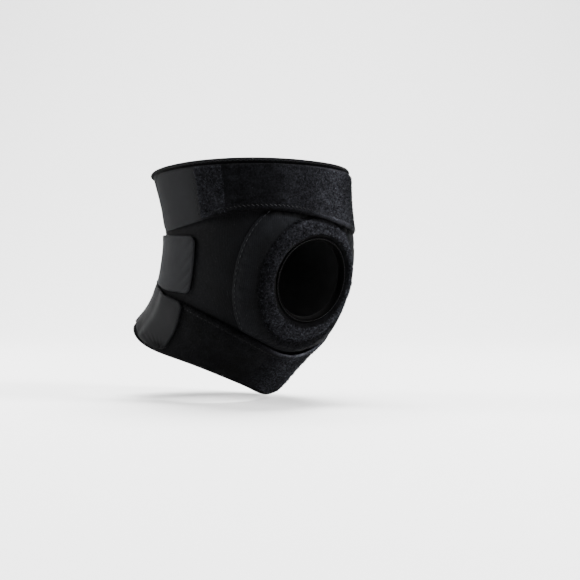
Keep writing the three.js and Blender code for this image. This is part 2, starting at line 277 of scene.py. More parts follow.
def middle_high(angle):
    return UPPER_STRAP_BOTTOM - STRAP_SPACING + 0 * angle


def middle_low(angle):
    taper = TAB_TAPER * (1 - smooth_step(MIDDLE_TAB_END, TAB_TAPER_END, angle))
    return LOWER_STRAP_TOP + STRAP_SPACING + taper


def lower_high(angle):
    dip = mix(around(angle, *LOWER_DIP_WIDE_AT), around(angle, *LOWER_DIP_NARROW_AT), LOWER_DIP_MIX)
    return LOWER_STRAP_TOP + (LOWER_DEPTH - LOWER_STRAP_TOP) * dip


def lower_low(angle):
    return bottom_edge(angle) + LOWER_MARGIN


def lower_tab_high(angle):
    return LOWER_STRAP_TOP - LOWER_TAB_DROP + 0 * angle


def lower_tab_low(angle):
    return lower_low(angle) + LOWER_TAB_RISE


# Meshes

RIM_STEP = 1.0
STRAP_STEP = 2.0
TAB_STEP = 1.1
RIM_SHARE = 0.12
STITCH_SECTIONS, STITCH_SIDES = 6, 5
LOOP_SECTIONS, LOOP_SIDES = 4, 3
HASH_PRIMES = 73856093, 19349663, 83492791
HASH_SEED = 2654435761
HASH_MIX = 1274126177

Places = namedtuple("Places", "angle height across along edge quads")

# Rows of stitches. sway sets each stitch askew.
Stitch = namedtuple("Stitch", "pitch length width rise sway", defaults=(0.45, 0.3, 0.0))
TAPE_STITCH = Stitch(1.9, 1.8, rise=0.2, sway=0.6)
PAD_STITCH = Stitch(4.0, 2.8)
LIP_STITCH = Stitch(2.2, 1.9, 0.35, 0.15, 0.3)
UPPER_HEM_STITCH = Stitch(3.1, 2.2, 0.5, 0.4, 0.7)
LOWER_HEM_STITCH = Stitch(3.4, 2.4)

# How light each seam is shown, about 1.
SEAM_SHADES = {
    "top_binding": 0.2,
    "bottom_binding": 0.2,
    "kneecap_pad": 0.6,
    "opening_binding": 0.35,
    "upper_tab": 0.25,
    "lower_strap": 0.14,
}


def lattice(cell, seed):
    """An even spread of values from 0 to 1, one for each row of whole numbers."""
    mixed = cell[..., 0] * HASH_PRIMES[0] ^ cell[..., 1] * HASH_PRIMES[1] ^ cell[..., 2] * HASH_PRIMES[2]
    mixed = mixed ^ (seed + 1) * HASH_SEED
    mixed = (mixed ^ (mixed >> 13)) * HASH_MIX
    return ((mixed ^ (mixed >> 16)) & 0xFFFF) / 0xFFFF


def lumps(points, size, seed=0):
    """Smooth unevenness from -1 to 1 over points, with lumps of about one size."""
    spot = points / size
    cell = np.floor(spot).astype(np.int64)
    part = spot - cell
    part = part * part * (3 - 2 * part)
    total = np.zeros(points.shape[:-1])
    for corner in np.ndindex(2, 2, 2):
        weight = np.prod(np.where(np.array(corner) == 1, part, 1 - part), axis=-1)
        total += weight * lattice(cell + np.array(corner), seed)
    return 2 * total - 1


def lines(length, step, rim):
    """Distances from 0 to a length, closer together near both ends, where the rim rounds off."""
    near = rim * (1 - np.cos(np.linspace(0, math.pi / 2, max(4, round(rim / RIM_STEP) + 1))))
    between = np.linspace(rim, length - rim, max(2, round((length - 2 * rim) / step)) + 1)
    return np.concatenate((near[:-1], between, (length - near[:-1])[::-1]))


def grid_quads(columns, rows, closed=False):
    """Quads over a grid of points that are numbered column by column."""
    steps = columns if closed else columns - 1
    column, row = np.meshgrid(np.arange(steps), np.arange(rows - 1), indexing="ij")
    here = (column * rows + row).ravel()
    ahead = ((column + 1) % columns * rows + row).ravel()
    return np.stack((here, here + 1, ahead + 1, ahead), axis=-1)


def strap_places(start, end, low, high, butt, step=STRAP_STEP, slant=0, corner=0):
    """A grid over a strap between two angles. slant is how far its lower edge runs past the upper one.

    butt names the end that meets another piece and so isn't rounded off.
    """
    way = np.sign(end - start)
    length = abs(end - start) * PER_DEGREE
    width = float(high(np.float64(end)) - low(np.float64(end)))
    rim = max(STRAP_WALL, corner)
    a, b = np.meshgrid(lines(length, step, rim) / length, lines(width, step, rim) / width, indexing="ij")
    side = np.minimum(b, 1 - b) * width
    pull = np.where(side < corner, corner - np.sqrt(np.maximum(corner**2 - (corner - side) ** 2, 0)), 0)
    stop = end + way * (slant * (1 - b) - pull / PER_DEGREE)
    angle = mix(start, stop, a)
    tall = high(angle) - low(angle)
    along = a * np.abs(stop - start) * PER_DEGREE
    from_start = along + (rim if butt == "start" else 0)
    from_end = (1 - a) * length + (rim if butt == "end" else 0)
    edge = np.minimum.reduce((b * tall, (1 - b) * tall, from_start, from_end))
    quads = grid_quads(*a.shape)
    return Places(*(v.ravel() for v in (angle, low(angle) + tall * b, b, along, edge)), quads)


def ring_places(inner, outer, turns, step, rim):
    """A grid between two outlines round the kneecap, each given as angles and heights over the turns."""
    inner_angle, inner_height = inner
    outer_angle, outer_height = outer
    width = kneecap_span(outer_angle - inner_angle, outer_height - inner_height)
    typical = float(np.median(width))
    s = lines(typical, step, rim)[None, :] / typical
    angle = mix(inner_angle[:, None], outer_angle[:, None], s)
    height = mix(inner_height[:, None], outer_height[:, None], s)
    edge = np.minimum(s, 1 - s) * width[:, None]
    along = turns[:, None] * (RING_HALF_WIDTH + RING_HALF_HEIGHT) / 2 + 0 * s
    quads = grid_quads(*angle.shape, closed=True)
    return Places(*(v.ravel() for v in (angle, height, s + 0 * angle, along, edge)), quads)


def rounded(edge, rim):
    """The share of its wall that a layer has at distances in from its edge."""
    inward = np.clip(edge / rim, 0, 1)
    return np.maximum(np.sqrt(1 - (1 - inward) ** 2), RIM_SHARE)


def thicken(places, inner, outer):
    """Points and faces of a closed layer between two faces over the same places."""
    count = len(places.angle)
    points = np.concatenate([layer(places.angle, places.height, face) for face in (outer, inner)])
    sides = np.concatenate([places.quads[:, [k, (k + 1) % 4]] for k in range(4)])
    _, first, uses = np.unique(np.sort(sides, axis=1), axis=0, return_index=True, return_counts=True)
    rim = sides[first[uses == 1]]
    walls = np.stack((rim[:, 1], rim[:, 0], rim[:, 0] + count, rim[:, 1] + count), axis=-1)
    return points, np.concatenate((places.quads, places.quads[:, ::-1] + count, walls))



def closed_mesh(name, points, faces):
    """A mesh of closed bodies whose faces look outward."""
    mesh = bpy.data.meshes.new(name)
    faces = faces if isinstance(faces, list) else faces.tolist()
    mesh.from_pydata(points.tolist(), [], faces)
    triangles = np.array([(f[0], f[k], f[k + 1]) for f in faces for k in range(1, len(f) - 1)])
    a, b, c = (points[triangles[:, k]] for k in range(3))
    if np.einsum("ij,ij->", a, np.cross(b, c)) < 0:
        mesh.flip_normals()
    mesh.polygons.foreach_set("use_smooth", np.ones(len(faces), dtype=bool))
    return mesh


# The cloth solver is at its best on things about a metre across, so a cover is enlarged for it.
COVER_SCALE = 20
COVER_FRAMES = 20
COVER_QUALITY = 5
COVER_STIFFNESS = 0.4
COVER_PRESSURE = 4
COVER_GROWTH = 0.05
COVER_REACH = 0.9
COVER_LEAST_MOVE = 0.05


def linked(name, data):
    """A new object in the scene."""
    thing = bpy.data.objects.new(name, data)
    bpy.context.scene.collection.objects.link(thing)
    return thing


def puffed(points, faces, held):
    """Points of a padded layer, after its cover has been simulated as cloth over soft filling."""
    scene = bpy.context.scene
    enlarged = MM * COVER_SCALE
    mesh = closed_mesh("cover", points * enlarged, faces)
    cover = linked("cover", mesh)
    cover.vertex_groups.new(name="held").add(np.flatnonzero(held).tolist(), 1, "REPLACE")
    cloth = cover.modifiers.new("cloth", "CLOTH")
    cloth.settings.quality = COVER_QUALITY
    cloth.settings.bending_stiffness = COVER_STIFFNESS
    cloth.settings.use_pressure = True
    cloth.settings.uniform_pressure_force = COVER_PRESSURE
    cloth.settings.shrink_min = -COVER_GROWTH
    cloth.settings.vertex_group_mass = "held"
    cloth.settings.effector_weights.gravity = 0
    cloth.collision_settings.use_collision = False
    cloth.point_cache.frame_end = COVER_FRAMES
    for number in range(1, COVER_FRAMES + 1):
        scene.frame_set(number)
    evaluated = cover.evaluated_get(bpy.context.evaluated_depsgraph_get())
    moved = np.empty(3 * len(points), dtype=np.float32)
    evaluated.data.vertices.foreach_get("co", moved)
    scene.frame_set(1)
    bpy.data.objects.remove(cover)
    bpy.data.meshes.remove(mesh)
    move = moved.reshape(-1, 3) / enlarged - points
    length = np.linalg.norm(move, axis=1, keepdims=True)
    if not np.isfinite(length).all() or length.max() < COVER_LEAST_MOVE:
        raise RuntimeError("the cover's simulation did not move it")
    return points + move * np.minimum(1, COVER_REACH / np.maximum(length, 1e-6))


def add_piece(name, points, faces, finish, replaces=(), weave=None, shade=1.0):
    """Adds a mesh that rides on the support, with its finish, its weave's places and its shade, which holds
    painted light and shade.
    """
    mesh = closed_mesh(name, points * MM, faces)
    if weave is not None:
        places = np.stack((*weave, 0 * weave[0]), axis=-1)
        mesh.attributes.new("weave", "FLOAT_VECTOR", "POINT").data.foreach_set("vector", places.ravel())
    mesh.attributes.new("shade", "FLOAT", "POINT").data.foreach_set("value", shade + np.zeros(len(points)))
    make, colour, slot = FINISHES[finish]
    colours = bpy.context.scene.knee_support_colours
    mesh.materials.append(bpy.data.materials.get(finish) or make(tuple(getattr(colours, colour))))
    piece = linked(name, mesh)
    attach(piece, "root")
    if replaces:
        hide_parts(*replaces)
    return piece


def add_layer(name, places, inner, outer, finish, shade=1.0, held=None):
    """Adds a closed layer in place of the solid of the same name.

    held says which places of a padded layer's cover are sewn down. The rest of it puffs up.
    """
    points, faces = thicken(places, inner, outer)
    if held is not None:
        points = puffed(points, faces, np.concatenate((held, np.ones(len(held), dtype=bool))))
    weave = np.tile(places.angle * PER_DEGREE, 2), np.tile(places.height, 2)
    shade = np.tile(shade + 0 * places.angle, 2)
    return add_piece(name + "_fabric", points, faces, finish, (name,), weave, shade)


def add_seam(name, seam, shade=None):
    """Adds a piece's stitches, as light as the table says unless a shade is given for each point."""
    shade = SEAM_SHADES.get(name, 1.0) if shade is None else shade
    return add_piece(name + "_seam", *seam, "sewing_thread", shade=shade)


def declare_sheet(places):
    """Works out the area of a layer laid on the skin. Nothing uses it."""
    quads = layer(places.angle, places.height, 0 * places.angle)[places.quads]
    area = np.linalg.norm(np.cross(quads[:, 2] - quads[:, 0], quads[:, 3] - quads[:, 1]), axis=1).sum() / 2


def thread_row(angle, height, distance, stitch, zigzag=False):
    """Points and faces of a row of stitches along a line of places."""
    path = layer(angle, height, distance)
    outward = outward_at(angle, height)
    gone = np.concatenate(([0], np.cumsum(np.linalg.norm(np.diff(path, axis=0), axis=1))))
    count = int(gone[-1] // stitch.pitch)
    t = np.linspace(0, 1, STITCH_SECTIONS)
    spot = (np.arange(count)[:, None] + 0.5) * (gone[-1] / count) + (t[None, :] - 0.5) * stitch.length
    centre = np.stack([np.interp(spot, gone, path[:, k]) for k in range(3)], axis=-1)
    up = unit(np.stack([np.interp(spot, gone, outward[:, k]) for k in range(3)], axis=-1))
    across = np.cross(unit(np.gradient(centre, axis=1)), up)
    turn_over = np.where(np.arange(count) % 2 == 0, 1, -1)[:, None, None] if zigzag else 1
    centre = centre + across * (2 * t - 1)[None, :, None] * stitch.sway * turn_over
    arch = np.sin(math.pi * t)[None, :, None]
    centre = centre + up * (stitch.rise * arch - stitch.rise / 3)
    ahead = unit(np.gradient(centre, axis=1))
    across = np.cross(ahead, up)
    top = np.cross(across, ahead)
    girth = stitch.width / 2 * (0.3 + 0.7 * np.sqrt(arch))
    return tubes(centre[:, :, None] + circles(across, top, STITCH_SIDES) * girth[:, :, None])


def circles(across, top, corners):
    """Circles of points in the planes of two directions."""
    turn = np.linspace(0, 2 * math.pi, corners, endpoint=False)[:, None]
    return across[:, :, None] * np.cos(turn) + top[:, :, None] * np.sin(turn)


def tubes(points, closed=False):
    """Points and faces of tubes, from their sections' points. A closed tube's end joins its start."""
    count, sections, corners, _ = points.shape
    steps = sections if closed else sections - 1
    ranges = np.arange(count), np.arange(steps), np.arange(corners)
    tube, section, corner = np.meshgrid(*ranges, indexing="ij")
    here = (tube * sections + section) * corners
    ahead = (tube * sections + (section + 1) % sections) * corners
    other = (corner + 1) % corners
    faces = np.stack((here + corner, here + other, ahead + other, ahead + corner), axis=-1)
    faces = faces.reshape(-1, 4).tolist()
    if not closed:
        first = np.arange(count)[:, None] * sections * corners + np.arange(corners)[::-1]
        last = (np.arange(count)[:, None] * sections + sections - 1) * corners + np.arange(corners)
        faces += first.tolist() + last.tolist()
    return points.reshape(-1, 3), faces


def joined(*parts):
    """Points and faces of several meshes as one."""
    points, faces, count = [], [], 0
    for more_points, more_faces in parts:
        points.append(more_points)
        faces.extend([index + count for index in face] for face in more_faces)
        count += len(more_points)
    return np.concatenate(points), faces


def loops_of_pile(angle, height, distance, length, width, seed):
    """Points and faces of curled loops of pile that stand on places."""
    chance = np.random.default_rng(seed)
    root = layer(angle, height, distance)
    up = outward_at(angle, height)
    round_it = unit(skin_runs(angle, height)[0])
    along = np.cross(up, round_it)
    heading = chance.uniform(0, 2 * math.pi, len(root))[:, None]
    forward = round_it * np.cos(heading) + along * np.sin(heading)
    size = length * chance.uniform(0.6, 1.25, len(root))[:, None, None]
    lean = chance.uniform(-0.5, 0.9, len(root))[:, None, None]
    t = np.linspace(0, 1, LOOP_SECTIONS)[None, :, None]
    arch = np.sin(math.pi * t)
    sideways = np.cross(up, forward)
    onward = forward[:, None] * (t - 0.5) * 1.1
    upward = up[:, None] * (arch - 0.18) * 0.8
    centre = root[:, None] + size * (onward + upward + sideways[:, None] * arch * lean)
    ahead = unit(np.gradient(centre, axis=1))
    across = unit(np.cross(ahead, up[:, None]))
    top = np.cross(across, ahead)
    return tubes(centre[:, :, None] + circles(across, top, LOOP_SIDES) * width / 2)


def add_curls(name, angle, height, distance, length, width, seed, shade):
    """Adds loops of pile on places. Each loop is a little lighter or darker than its place."""
    points, faces = loops_of_pile(angle, height, distance, length, width, seed)
    own = np.random.default_rng(seed + 100).uniform(-1.2, 1.0, len(angle))
    each = len(points) // len(angle)
    return add_piece(name, points, faces, "pile_yarn", shade=np.repeat(shade * 2**own, each))


# Materials


class Value:
    """A shader socket. Sums with it add Math nodes."""

    def __init__(self, shader, socket):
        self.shader = shader
        self.socket = socket

    def __add__(self, other):
        return self.shader.maths("ADD", self, other)

    def __rsub__(self, other):
        return self.shader.maths("SUBTRACT", other, self)

    def __mul__(self, other):
        return self.shader.maths("MULTIPLY", self, other)

    __radd__ = __add__
    __rmul__ = __mul__


class Shader:
    """A material in the making, whose surface starts from values that are the same all over it."""

    def __init__(self, name, **surface):
        self.material = bpy.data.materials.new(name)
        self.material.use_nodes = True
        self.tree = self.material.node_tree
        self.surface = self.tree.nodes["Principled BSDF"]
        self.feed(self.surface, {key.replace("_", " "): value for key, value in surface.items()})

    def feed(self, node, sockets):
        for name, value in sockets.items():
            if isinstance(value, Value):
                self.tree.links.new(value.socket, node.inputs[name])
            else:
                node.inputs[name].default_value = value

    def node(self, kind, settings, sockets, output=0):
        node = self.tree.nodes.new("ShaderNode" + kind)
        for name, value in settings.items():
            setattr(node, name, value)
        self.feed(node, sockets)
        return Value(self, node.outputs[output])

    def maths(self, operation, *values):
        return self.node("Math", {"operation": operation}, dict(enumerate(values)))

    def spread(self, value, low, high):
        """A value's range from low to high, as 0 to 1 with soft ends."""
        settings = {"interpolation_type": "SMOOTHSTEP"}
        return self.node("MapRange", settings, {"Value": value, "From Min": low, "From Max": high})

    def noise(self, size, detail=2, roughness=0.5):
        """Unevenness from 0 to 1, with lumps of a size in millimetres."""
        place = self.node("TexCoord", {}, {}, "Object")
        sockets = {"Vector": place, "Scale": 1 / (size * MM), "Detail": detail, "Roughness": roughness}
        return self.node("TexNoise", {}, sockets)

    def cells(self, size):
        """Distance to the middle of the nearest of many cells of a size in millimetres."""
        place = self.node("TexCoord", {}, {}, "Object")
        return self.node("TexVoronoi", {}, {"Vector": place, "Scale": 1 / (size * MM)})

    def weave(self):
        """Places round and along the layer, in millimetres."""
        places = self.node("Attribute", {"attribute_name": "weave"}, {}, "Vector")
        return (self.node("SeparateXYZ", {}, {0: places}, output) for output in ("X", "Y"))

    def dyed(self, colour, share, dark, light):
        """A mix of two tones of a colour, times the layer's shade, which holds painted light and shade as
        well as tone.
        """
        tones = self.colour(share, shaded(colour, dark), shaded(colour, light))
        shade = self.node("Attribute", {"attribute_name": "shade"}, {}, "Fac")
        return self.node("VectorMath", {"operation": "SCALE"}, {0: tones, "Scale": shade})

    def wave(self, value, pitch):
        """A wave from 0 to 1 with a pitch in millimetres."""
        return 0.5 + 0.5 * self.maths("SINE", value * (2 * math.pi / pitch))

    def colour(self, share, low, high):
        """A mix of two colours."""
        settings = {"data_type": "RGBA"}
        sockets = {"Factor": share, 6: (*low, 1), 7: (*high, 1)}
        return self.node("Mix", settings, sockets, 2)

    def bump(self, height, depth, strength=1.0):
        """Normals for a relief of a depth in millimetres."""
        return self.node("Bump", {}, {"Height": height, "Distance": depth * MM, "Strength": strength})

    def finish(self, **sockets):
        self.feed(self.surface, {key.replace("_", " "): value for key, value in sockets.items()})
        return self.material


def shaded(colour, share):
    return tuple(channel * share for channel in colour)


def neoprene_jersey(colour):
    """Fine jersey knit laminated to neoprene foam."""
    shader = Shader("neoprene_jersey", Specular_IOR_Level=0.03)
    round_it, along = shader.weave()
    ribs = shader.wave(round_it, 1.1)
    rows = shader.wave(along + 0.45 * ribs, 0.85)
    knit = ribs * 0.55 + rows * 0.45
    grain = shader.noise(0.7, 3, 0.6)
    worn = shader.noise(16, 3)
    relief = knit * 0.5 + grain * 0.5
    share = shader.spread(worn * 0.45 + grain * 0.35 + knit * 0.2, 0.32, 0.68)
    return shader.finish(
        Base_Color=shader.dyed(colour, share, 0.5, 1.45),
        Roughness=0.68 + 0.2 * worn,
        Normal=shader.bump(relief, 0.45, 0.9),
    )


def brushed_pile(colour):
    """Brushed loop pile, with painted shade between its loops."""
    shader = Shader("brushed_pile", Sheen_Weight=0.004, Sheen_Roughness=0.4, Specular_IOR_Level=0.02)
    curls = shader.cells(1.3)
    fuzz = shader.noise(0.9, 3, 0.7)
    nap = shader.noise(7, 3)
    relief = (1 - curls) * 0.5 + fuzz * 0.5
    # The colour is darker between the loops as painted shade; fuzz and nap give random tone.
    share = shader.spread(fuzz * 0.55 + nap * 0.25 + (1 - curls) * 0.2, 0.36, 0.68)
    return shader.finish(
        Base_Color=shader.dyed(colour, share, 0.22, 2.5),
        Roughness=0.8 + 0.15 * fuzz,
        Normal=shader.bump(relief, 0.7, 0.9),
    )


def hook_tab_face(colour):
    """Smooth laminated face of a closing tab, with a faint twill."""
    shader = Shader("hook_tab_face", Specular_IOR_Level=0.02)
    round_it, along = shader.weave()
    twill = shader.wave(round_it + along, 1.0)
    worn = shader.noise(11, 4)
    grain = shader.noise(0.8, 3, 0.6)
    share = shader.spread(worn * 0.5 + grain * 0.3 + twill * 0.2, 0.3, 0.7)
    return shader.finish(
        Base_Color=shader.dyed(colour, share, 0.82, 1.16),
        Roughness=0.52 + 0.18 * worn,
        Normal=shader.bump(twill * 0.4 + grain * 0.6, 0.3, 0.8),
    )


def ribbed_tape(colour):
    """Edge tape with fine ribs across it."""
    shader = Shader("ribbed_tape", Specular_IOR_Level=0.012)
    round_it, _ = shader.weave()
    ribs = shader.wave(round_it, 0.9)
    worn = shader.noise(6, 3)
    share = shader.spread(ribs * 0.5 + worn * 0.5, 0.2, 0.8)
    return shader.finish(
        Base_Color=shader.dyed(colour, share, 0.7, 1.5),
        Roughness=0.6 + 0.2 * worn,
        Normal=shader.bump(ribs, 0.2, 0.7),
    )


def sewing_thread(colour):
    """Spun thread."""
    shader = Shader("sewing_thread", Specular_IOR_Level=0.1)
    twist = shader.noise(0.5, 2)
    return shader.finish(
        Base_Color=shader.dyed(colour, twist, 0.7, 1.4),
        Roughness=0.5 + 0.2 * twist,
    )


def pile_yarn(colour):
    """Yarn of the pile's loops, which stand up into the light."""
    shader = Shader("pile_yarn", Sheen_Weight=0.004, Sheen_Roughness=0.4, Specular_IOR_Level=0.02)
    nap = shader.noise(1.6, 3)
    share = shader.spread(nap, 0.35, 0.65)
    return shader.finish(
        Base_Color=shader.dyed(colour, share, 0.6, 4),
        Roughness=0.7 + 0.2 * nap,
    )


def pale_floor(colour):
    """Matt floor and backdrop."""
    shader = Shader("pale_floor", Specular_IOR_Level=0.1)
    speck = shader.noise(30, 2)
    return shader.finish(
        Base_Color=shader.colour(speck, shaded(colour, 0.985), colour),
        Roughness=0.85 + 0.1 * speck,
    )


# The record's colours are those of cloth in the hand. They are shown deeper under the stage's strong lights.
SHOWN_DEPTH = 0.13
RECORD_COLOURS = {
    material["slot"]: shaded(material["base_color"], SHOWN_DEPTH)
    for material in frame["record"]["materials"]
}


def colour_property(name, description, default):
    return bpy.props.FloatVectorProperty(
        name=name, description=description, subtype="COLOR", default=default, min=0, max=1
    )


def length_property(name, description, default, least, most):
    return bpy.props.FloatProperty(
        name=name, description=description, unit="LENGTH", default=default, min=least, max=most
    )


class KneeSupportColours(bpy.types.PropertyGroup):
    """Colours of the support and of the floor."""

    neoprene: colour_property("Neoprene", "Jersey face of the wrap and the pad", RECORD_COLOURS["neoprene"])
    pile: colour_property("Pile", "Brushed loop pile of the straps and the ring", RECORD_COLOURS["loop_pile"])
    tab: colour_property("Closing tabs", "Smooth face of the closing tabs", RECORD_COLOURS["hook_tab"])
    tape: colour_property("Edge tape", "Tape folded over the edges", RECORD_COLOURS["edge_tape"])
    thread: colour_property("Thread", "Sewing thread", (0.016, 0.0165, 0.018))
    floor: colour_property("Floor", "Floor and backdrop", (0.86, 0.86, 0.86))


class KneeSupportSizes(bpy.types.PropertyGroup):
    """Sizes of the sewing and the pile."""

    stitch: length_property("Stitch", "Length of one stitch", 0.0026, 0.001, 0.006)
    thread: length_property("Thread", "Thickness of the thread", 0.00045, 0.0002, 0.001)
    loop: length_property("Loop", "Length of one loop of the ring's pile", 0.0015, 0.0004, 0.003)
    loops: bpy.props.IntProperty(
        name="Loops", description="Number of loops on the ring", default=8000, min=100, max=10000
    )


# Each finish with the panel's colour that it takes and a slot of the record, which nothing reads.
Finish = namedtuple("Finish", "make colour slot")
FINISHES = {
    "neoprene_jersey": Finish(neoprene_jersey, "neoprene", "neoprene"),
    "brushed_pile": Finish(brushed_pile, "pile", "loop_pile"),
    "pile_yarn": Finish(pile_yarn, "pile", "loop_pile"),
    "hook_tab_face": Finish(hook_tab_face, "tab", "hook_tab"),
    "ribbed_tape": Finish(ribbed_tape, "tape", "edge_tape"),
    "sewing_thread": Finish(sewing_thread, "thread", "edge_tape"),
}


# Pieces

WRAP_STEP = 2.4
WRAP_SHADE = 0.72
WINDOW_HALF = 46
WINDOW_RINGS = 10
WINDOW_EASE = 0.7
TAPE_WALL = 0.8
TAPE_DEPTH = 3
TAPE_BEND = 1.7
TAPE_SEAM_DEPTH = 2.1
TAPE_POINTS = 200
SLIT_HALF = SLIT_WIDTH / 2 / PER_DEGREE
WRAP_START = SLIT_ANGLE - 360 + SLIT_HALF
WRAP_END = SLIT_ANGLE - SLIT_HALF


def wrap_places():
    """A grid over the wrap, with rings of quads from a square window of it in to the kneecap opening."""
    inset = TAPE_WALL + LAYER_GAP
    angles = WRAP_START + lines((WRAP_END - WRAP_START) * PER_DEGREE, WRAP_STEP, WRAP_WALL) / PER_DEGREE
    reach = UPPER_REACH + LOWER_REACH
    angle, share = np.meshgrid(angles, lines(reach, WRAP_STEP, WRAP_WALL) / reach, indexing="ij")
    low = bottom_edge(angle) + inset
    high = top_edge(angle) - inset
    height = mix(low, high, share)
    to_slit = np.minimum(angle - WRAP_START, WRAP_END - angle) * PER_DEGREE
    edge = np.minimum(np.minimum(share, 1 - share) * (high - low), to_slit)
    columns, rows = angle.shape
    middle_row = height[np.abs(angles - OPENING_ANGLE).argmin()]
    in_column = np.abs(angles - OPENING_ANGLE) * ROUND_KNEECAP < WINDOW_HALF
    in_row = np.abs(middle_row - OPENING_HEIGHT) * ALONG_KNEECAP < WINDOW_HALF
    left, right = np.flatnonzero(in_column)[[0, -1]]
    bottom, top = np.flatnonzero(in_row)[[0, -1]]
    keep = np.ones((columns - 1, rows - 1), dtype=bool)
    keep[left:right, bottom:top] = False
    quads = grid_quads(columns, rows)[keep.ravel()]
    loop = [(c, bottom) for c in range(left, right)] + [(right, r) for r in range(bottom, top)]
    loop += [(c, top) for c in range(right, left, -1)] + [(left, r) for r in range(top, bottom, -1)]
    column, row = np.array(loop).T
    frame_angle, frame_height = angle[column, row], height[column, row]
    aside = (frame_angle - OPENING_ANGLE) * ROUND_KNEECAP
    turn = np.arctan2((frame_height - OPENING_HEIGHT) * ALONG_KNEECAP, aside)
    hole_angle, hole_height = kneecap_place(turn, RING_INNER, RING_INNER)
    shares = np.linspace(0, 1, WINDOW_RINGS + 1)[1:, None] ** WINDOW_EASE
    ring_angle = mix(frame_angle, hole_angle, shares)
    ring_height = mix(frame_height, hole_height, shares)
    ring_edge = kneecap_span(ring_angle - hole_angle, ring_height - hole_height)
    numbers = columns * rows + np.arange(ring_angle.size).reshape(ring_angle.shape)
    numbers = np.vstack((column * rows + row, numbers))
    ahead = np.roll(numbers, -1, axis=1)
    window = np.stack((numbers[:-1], numbers[1:], ahead[1:], ahead[:-1]), axis=-1).reshape(-1, 4)
    used, numbers = np.unique(np.concatenate((quads, window)), return_inverse=True)
    angle, height, edge = (
        np.concatenate((grid.ravel(), ring.ravel()))[used]
        for grid, ring in ((angle, ring_angle), (height, ring_height), (edge, ring_edge))
    )
    return Places(angle, height, 0 * angle, (angle - WRAP_START) * PER_DEGREE, edge, numbers.reshape(-1, 4))


def laid(places, base, wall, rim, relief=0.0):
    """Distances of a layer's inner and outer faces from the skin, with a rounded rim."""
    half = wall / 2 * rounded(places.edge, rim)
    middle = base + wall / 2
    return middle - half, middle + half + relief * rounded(places.edge, 2 * rim)


def spots(places):
    return layer(places.angle, places.height, 0 * places.angle)


def edge_tape(name, edge, into):
    """Tape folded over an edge of the wrap, with a zigzag seam through both its flaps."""
    angles = np.linspace(WRAP_START, WRAP_END, TAPE_POINTS)
    fold = TAPE_WALL / 2
    reach = WRAP_WALL / 2 + LAYER_GAP + fold
    crest = np.linspace(math.pi / 2, -math.pi / 2, 11)
    flap = np.array([TAPE_DEPTH, TAPE_DEPTH * 0.8])
    depth = np.concatenate((flap, TAPE_BEND - (TAPE_BEND - fold) * np.cos(crest), flap[::-1]))
    out = np.concatenate(([reach, reach], reach * np.sin(crest), [-reach, -reach]))
    profile = np.stack((depth, out), axis=-1)
    run = unit(np.gradient(profile, axis=0))
    aside = fold * np.stack((run[:, 1], -run[:, 0]), axis=-1)
    depths, outs = np.concatenate((profile + aside, (profile - aside)[::-1])).T
    angle = np.repeat(angles[:, None], len(depths), axis=1)
    points, faces = tubes(layer(angle, edge(angle) + into * depths, outs + WRAP_WALL / 2)[None])
    weave = angle.ravel() * PER_DEGREE, np.tile(depths, len(angles))
    tape = add_piece(name + "_tape", points, faces, "ribbed_tape", (name,), weave)
    line = edge(angles) + into * TAPE_SEAM_DEPTH
    rows = [
        thread_row(angles, line, side, TAPE_STITCH, zigzag=True)
        for side in (WRAP_FACE + TAPE_WALL, -LAYER_GAP - TAPE_WALL)
    ]
    return [tape, add_seam(name, joined(*rows))]


class KNEE_OT_wrap(bpy.types.Operator):
    """Adds the neoprene wrap with its edge tapes."""

    bl_idname = "knee_support.wrap"
    bl_label = "Wrap"

    def execute(self, context):
        places = wrap_places()
        spot = spots(places)
        relief = 0.16 * lumps(spot, 21, 1) + 0.06 * lumps(spot, 7, 2)
        inner, outer = laid(places, 0, WRAP_WALL, WRAP_WALL / 2, relief)
        wrap = add_layer("neoprene_wrap", places, inner, outer, "neoprene_jersey", WRAP_SHADE)
        trim = edge_tape("top_binding", top_edge, -1) + edge_tape("bottom_binding", bottom_edge, 1)
        declare_sheet(places)
        return {"FINISHED"}


PAD_TURNS = 240
PAD_STEP = 1.1
PAD_RIM = 1.6
PAD_CROWN = 2.3
PAD_EDGE = 1.2
PAD_GROOVE = 2.4
RING_TURNS = 260
RING_STEP = 0.8
RING_RIM = 2.2
RING_CROWN = 4.4
RING_EDGE = 2
RING_SOFT_RIM = 3.4
RING_SHARP_RIM = 0.9
LIP_RISE = 1.5
THREAD_LIFT = 0.1
PILE_SINK = 0.1
GROOVE_SHARE = 0.22
GROOVE_REACH = 0.93, 1.13
WOOL_START = 0.17
WOOL_REACH = 1.15
WOOL_REACH_ABOVE = 0.5
WOOL_REACH_BELOW = 0.3
RING_LOOP_WIDTH = 0.26


def free_stretches(angle, height, free):
    """The stretches of a closed line of places along which it is free."""
    start = int(np.argmin(free))
    angle, height, free = (np.roll(v, -start) for v in (angle, height, free))
    cuts = np.flatnonzero(np.diff(free)) + 1
    stretches = zip(np.split(angle, cuts), np.split(height, cuts), np.split(free, cuts))
    return [(a, h) for a, h, is_free in stretches if is_free[0] and len(a) > 3]


def ring_outline(turns, grown):
    """An outline round the kneecap, outside the ring by a distance."""
    return kneecap_place(turns, RING_HALF_WIDTH + grown, RING_HALF_HEIGHT + grown)


def under_strap(angle, height):
    """How much light reaches places below the upper strap's raised edge."""
    return mix(0.12, 1, smooth_step(2.4, 5.2, (sagging_low(angle) - height) * ALONG_KNEECAP))


def wool_relief(spot):
    """Unevenness of the ring's wool."""
    return 0.4 * lumps(spot, 2.6, 7) + 0.25 * lumps(spot, 1.3, 8) + 0.3 * lumps(spot, 9, 9)


def crown(across):
    """How high the ring stands between its inner edge and its outer one."""
    arch = 1 - np.abs(2 * across**0.8 - 1) ** 2
    return RING_EDGE + (RING_CROWN - RING_EDGE) * arch - 0.9 * across**3


